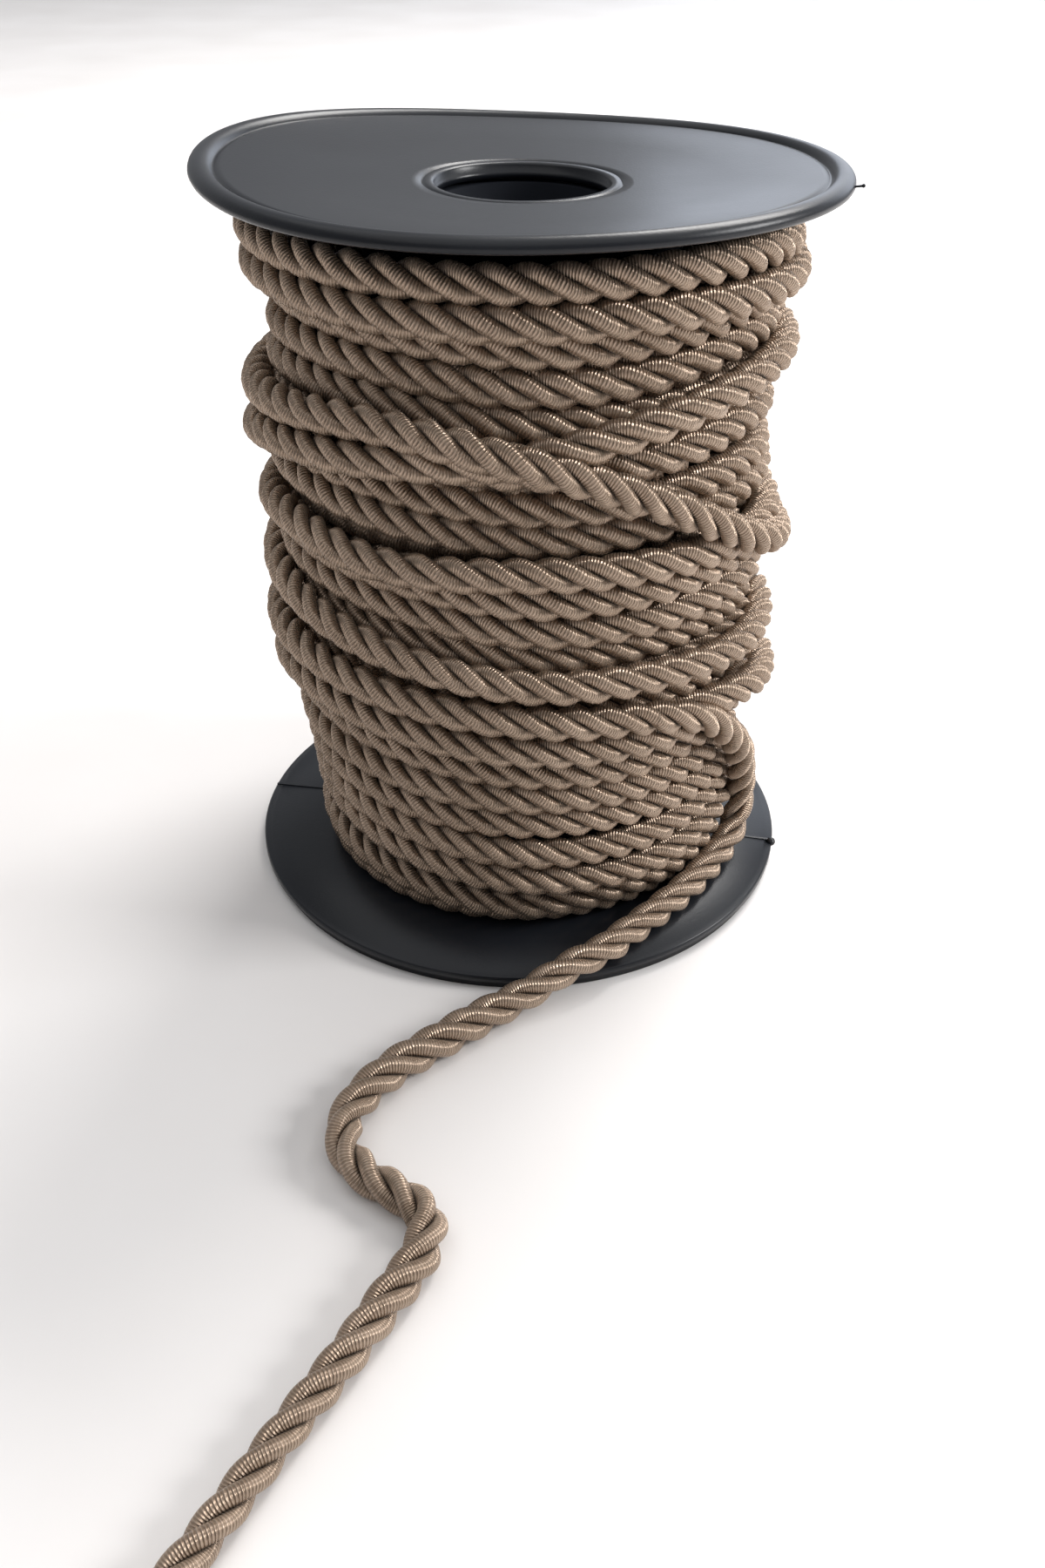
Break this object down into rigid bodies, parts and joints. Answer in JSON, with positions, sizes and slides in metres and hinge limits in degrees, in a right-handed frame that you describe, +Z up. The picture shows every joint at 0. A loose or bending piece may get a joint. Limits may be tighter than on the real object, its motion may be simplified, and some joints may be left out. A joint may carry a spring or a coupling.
{
  "type": "twisted cord on a spool",
  "caption": "Twisted three-strand furnishing cord wound in crossing turns on a flanged plastic spool, with its loose end lying on the floor.",
  "frame": {"origin": "centre of the spool's foot, on the surface that it stands on", "axes": "+Z up along the spool's bore, -Y towards the side where the loose end runs out over the floor, +X to the right seen from there"},
  "size_m": [0.1051, 0.2256, 0.1256],
  "materials": {
    "spool_plastic": "satin black, moulded",
    "cord_fabric": "taupe, each strand wrapped in silky thread"
  },
  "bodies": {
    "root": {"flange_bottom": "spool_plastic", "barrel": "spool_plastic", "flange_top": "spool_plastic", "winding": "cord_fabric", "cord_tail": "cord_fabric"}
  },
  "joints": []
}
